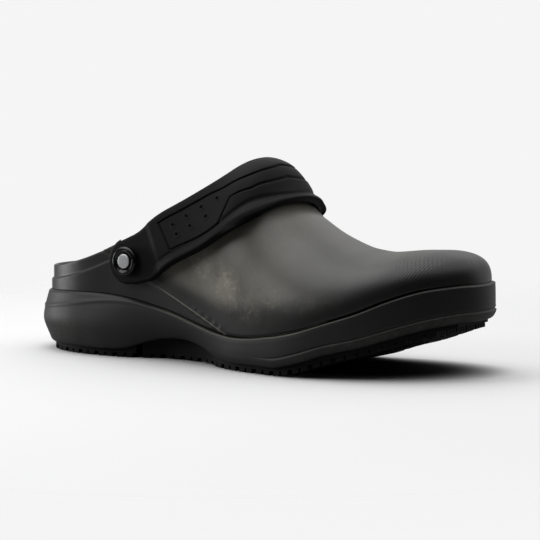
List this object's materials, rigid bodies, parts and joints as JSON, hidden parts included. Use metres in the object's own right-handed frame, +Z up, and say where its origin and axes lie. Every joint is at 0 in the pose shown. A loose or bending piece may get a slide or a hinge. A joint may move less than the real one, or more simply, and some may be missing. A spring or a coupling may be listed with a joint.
{
  "type": "chef clog",
  "caption": "Moulded closed-toe work clog for the right foot, with an open heel collar, a sculpted sole, studded treads and a heel strap swung forward over the instep.",
  "frame": {"origin": "on the floor, under the middle of the whole shoe's box", "axes": "+X towards the toe, -Y the outer (lateral) side of the right foot, +Z up"},
  "size_m": [0.2918, 0.1098, 0.1165],
  "materials": {
    "upper_foam": "charcoal moulded foam, fine skin, soft sheen with light scuffs",
    "sole_foam": "near-black moulded foam, satin",
    "tread_rubber": "black solid rubber, matt",
    "insole_foam": "dark foam footbed under a close knitted cover",
    "strap_foam": "charcoal moulded foam, satin",
    "rivet_plastic": "glossy black plastic",
    "badge_metal": "plain bright metal disc"
  },
  "bodies": {
    "root": {"upper": "upper_foam", "midsole": "sole_foam", "tread_heel": "tread_rubber", "tread_ball": "tread_rubber", "insole": "insole_foam", "strap": "strap_foam", "rivet_outer": "rivet_plastic", "rivet_inner": "rivet_plastic", "badge_outer": "badge_metal", "badge_inner": "badge_metal"}
  },
  "joints": []
}
